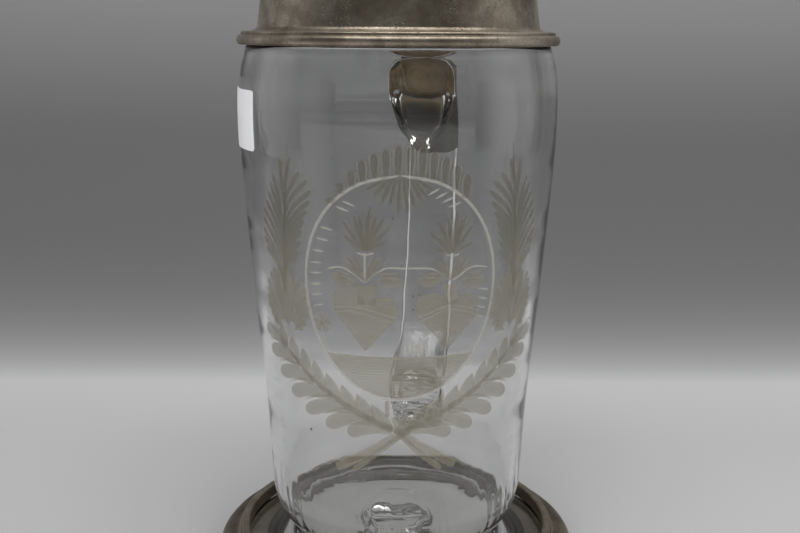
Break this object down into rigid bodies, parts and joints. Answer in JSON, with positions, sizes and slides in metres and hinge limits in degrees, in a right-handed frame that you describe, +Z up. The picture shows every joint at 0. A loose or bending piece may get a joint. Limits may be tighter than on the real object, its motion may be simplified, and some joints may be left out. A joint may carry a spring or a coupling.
{
  "type": "lidded glass tankard",
  "caption": "Tall blown glass tankard with an engraved wreath, a strap handle, a pewter foot ring and a hinged pewter lid opened by a thumb piece.",
  "frame": {"origin": "on the table under the middle of the whole object's box, handle included", "axes": "+Z up, +Y towards the handle, +X to the right as seen with the handle behind"},
  "size_m": [0.128, 0.1584, 0.2156],
  "materials": {
    "glass": "clear blown glass with seed bubbles, faint rings and a matt engraving",
    "pewter": "turned and worn pewter, grey, lightly pitted",
    "pin_steel": "dull darkened steel with riveted ends",
    "paper": "matt white sticker, blank"
  },
  "bodies": {
    "tankard": {"glass_body": "glass", "glass_foot": "glass", "glass_handle": "glass", "foot_ring": "pewter", "handle_strap": "pewter", "hinge_pin": "pin_steel", "paper_label": "paper"},
    "lid_assembly": {"lid": "pewter", "lid_hinge_lug": "pewter", "thumb_piece": "pewter"}
  },
  "joints": [
    {"name": "lid_hinge", "type": "hinge", "parent": "tankard", "child": "lid_assembly", "pos_m": [0, 0.04214, 0.1872], "axis": [-1, 0, 0], "range_deg": [0, 110]}
  ]
}
